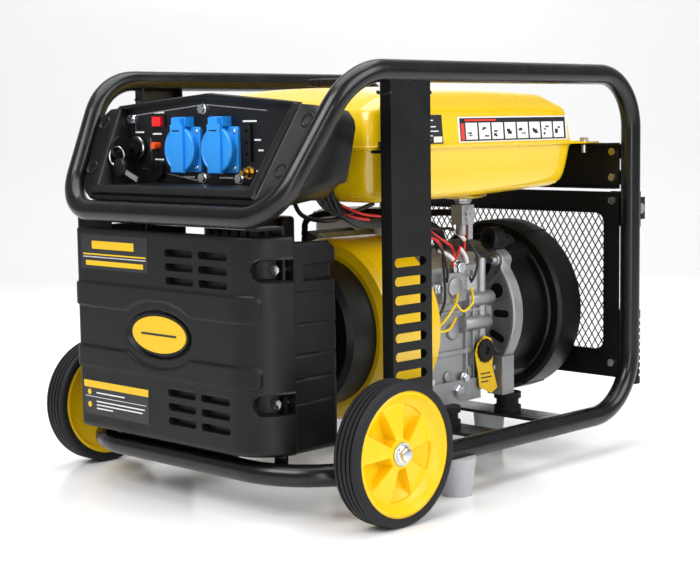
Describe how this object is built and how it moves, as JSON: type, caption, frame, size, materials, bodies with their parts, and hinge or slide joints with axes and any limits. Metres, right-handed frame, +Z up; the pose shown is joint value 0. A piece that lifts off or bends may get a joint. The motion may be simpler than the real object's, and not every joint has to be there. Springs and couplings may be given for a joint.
{
  "type": "portable generator",
  "caption": "Open-frame petrol generator with wheels, folding handles, a sloping control panel, a fuel tank, an engine and an alternator.",
  "frame": {"origin": "on the ground, under the middle of the whole machine", "axes": "+X to the right of someone facing the control panel, +Y from the panel to the handles, +Z up"},
  "size_m": [0.53, 0.6324, 0.478],
  "materials": {
    "frame_paint": "semi-gloss black powder coat",
    "sheet_paint": "satin black paint",
    "mount_rubber": "matt black rubber",
    "foot_rubber": "light grey rubber",
    "tyre_rubber": "dark grey solid tyre",
    "zinc": "zinc-plated steel",
    "yellow_plastic": "yellow plastic",
    "yellow_paint": "gloss yellow paint",
    "black_plastic": "fine-grained black plastic",
    "plate_paint": "black panel plate",
    "cover_plastic": "dark grey plastic",
    "blue_plastic": "bright blue plastic",
    "red_plastic": "red plastic",
    "brass_plate": "plated brass",
    "cast_alloy": "cast aluminium",
    "steel": "machined steel",
    "muffler_steel": "bare steel sheet",
    "windings": "laminated iron with copper windings"
  },
  "bodies": {
    "machine": {"upper_frame_tube": "frame_paint", "lower_frame_tube": "frame_paint", "side_posts": "sheet_paint", "upper_cross_plate": "sheet_paint", "mesh_panel": "sheet_paint", "expanded_mesh": "sheet_paint", "cross_members": "frame_paint", "rubber_mounts": "mount_rubber", "stub_axles": "zinc", "axle_washers": "zinc", "feet": "foot_rubber", "handle_pivots": "zinc", "frame_screws": "zinc", "m6_bolts": "zinc", "tank_top": "yellow_paint", "tank_bottom": "yellow_paint", "fuel_tap": "cast_alloy", "fuel_hose": "mount_rubber", "panel_housing": "black_plastic", "panel_plate": "plate_paint", "socket_bodies": "blue_plastic", "dc_socket": "black_plastic", "key_switch": "black_plastic", "earth_terminal": "brass_plate", "indicator_strip": "black_plastic", "front_cover": "cover_plastic", "battery": "black_plastic", "recoil_housing": "sheet_paint", "blower_housing": "yellow_paint", "stator": "windings", "crankcase": "cast_alloy", "cylinder_block": "cast_alloy", "rocker_cover": "sheet_paint", "muffler": "muffler_steel", "carburettor": "cast_alloy", "air_cleaner": "black_plastic", "alternator_bell": "cast_alloy", "alternator_cover": "sheet_paint", "wire_loom": "black_plastic"},
    "wheel_right": {"tyre_right": "tyre_rubber", "rim_right": "yellow_plastic"},
    "wheel_left": {"tyre_left": "tyre_rubber", "rim_left": "yellow_plastic"},
    "folding_handle_right": {"handle_right": "frame_paint", "grip_right": "mount_rubber"},
    "folding_handle_left": {"handle_left": "frame_paint", "grip_left": "mount_rubber"},
    "key": {"ignition_key": "black_plastic"},
    "lid_left": {"socket_lid_left": "blue_plastic"},
    "lid_right": {"socket_lid_right": "blue_plastic"},
    "rocker": {"rocker_switch": "red_plastic"},
    "reset": {"reset_button": "red_plastic"},
    "tap": {"tap_lever": "zinc"},
    "cap": {"fuel_cap": "black_plastic"},
    "oil_stick": {"dipstick": "black_plastic"},
    "choke": {"choke_lever": "black_plastic"},
    "pull_handle": {"recoil_handle": "black_plastic"},
    "spinning_group": {"crankshaft": "steel", "flywheel_fan": "cast_alloy", "rotor": "windings"}
  },
  "joints": [
    {"name": "wheel_right_turn", "type": "hinge", "parent": "machine", "child": "wheel_right", "pos_m": [0.246, -0.20725, 0.076], "axis": [1, 0, 0], "continuous": true},
    {"name": "wheel_left_turn", "type": "hinge", "parent": "machine", "child": "wheel_left", "pos_m": [-0.246, -0.20725, 0.076], "axis": [1, 0, 0], "continuous": true},
    {"name": "handle_right_fold", "type": "hinge", "parent": "machine", "child": "folding_handle_right", "pos_m": [0.184, 0.30125, 0.3], "axis": [1, 0, 0], "range_deg": [0, 90]},
    {"name": "handle_left_fold", "type": "hinge", "parent": "machine", "child": "folding_handle_left", "pos_m": [-0.184, 0.30125, 0.3], "axis": [1, 0, 0], "range_deg": [0, 90]},
    {"name": "key_turn", "type": "hinge", "parent": "machine", "child": "key", "pos_m": [-0.12, -0.23775, 0.3875], "axis": [0, 1, 0], "range_deg": [0, 90]},
    {"name": "socket_lid_left_lift", "type": "hinge", "parent": "machine", "child": "lid_left", "pos_m": [-0.0345, -0.24675, 0.4176], "axis": [-1, 0, 0], "range_deg": [0, 100]},
    {"name": "socket_lid_right_lift", "type": "hinge", "parent": "machine", "child": "lid_right", "pos_m": [0.028, -0.24675, 0.4176], "axis": [-1, 0, 0], "range_deg": [0, 100]},
    {"name": "rocker_tip", "type": "hinge", "parent": "machine", "child": "rocker", "pos_m": [-0.084, -0.23675, 0.417], "axis": [0, 0, 1], "range_deg": [-8, 8]},
    {"name": "reset_press", "type": "slide", "parent": "machine", "child": "reset", "axis": [0, 1, 0], "range_m": [0, 0.003], "stiffness_N_per_m": 400},
    {"name": "fuel_tap_turn", "type": "hinge", "parent": "machine", "child": "tap", "pos_m": [0.138, 0.04225, 0.305], "axis": [1, 0, 0], "range_deg": [0, 90]},
    {"name": "fuel_cap_turn", "type": "hinge", "parent": "machine", "child": "cap", "pos_m": [-0.01, -0.02775, 0.46], "axis": [0, 0, 1], "range_deg": [0, 90]},
    {"name": "dipstick_turn", "type": "hinge", "parent": "machine", "child": "oil_stick", "pos_m": [0.1, 0.11075, 0.132], "axis": [1, 0, 0], "range_deg": [-180, 0]},
    {"name": "choke_turn", "type": "hinge", "parent": "machine", "child": "choke", "pos_m": [-0.0975, -0.02325, 0.23843], "axis": [-1, 0, 0], "range_deg": [0, 55]},
    {"name": "recoil_pull", "type": "slide", "parent": "machine", "child": "pull_handle", "axis": [-1, 0, 0], "range_m": [0, 0.08], "stiffness_N_per_m": 60},
    {"name": "crank_spin", "type": "hinge", "parent": "machine", "child": "spinning_group", "pos_m": [0.036, 0, 0.174], "axis": [0, 1, 0], "continuous": true}
  ]
}
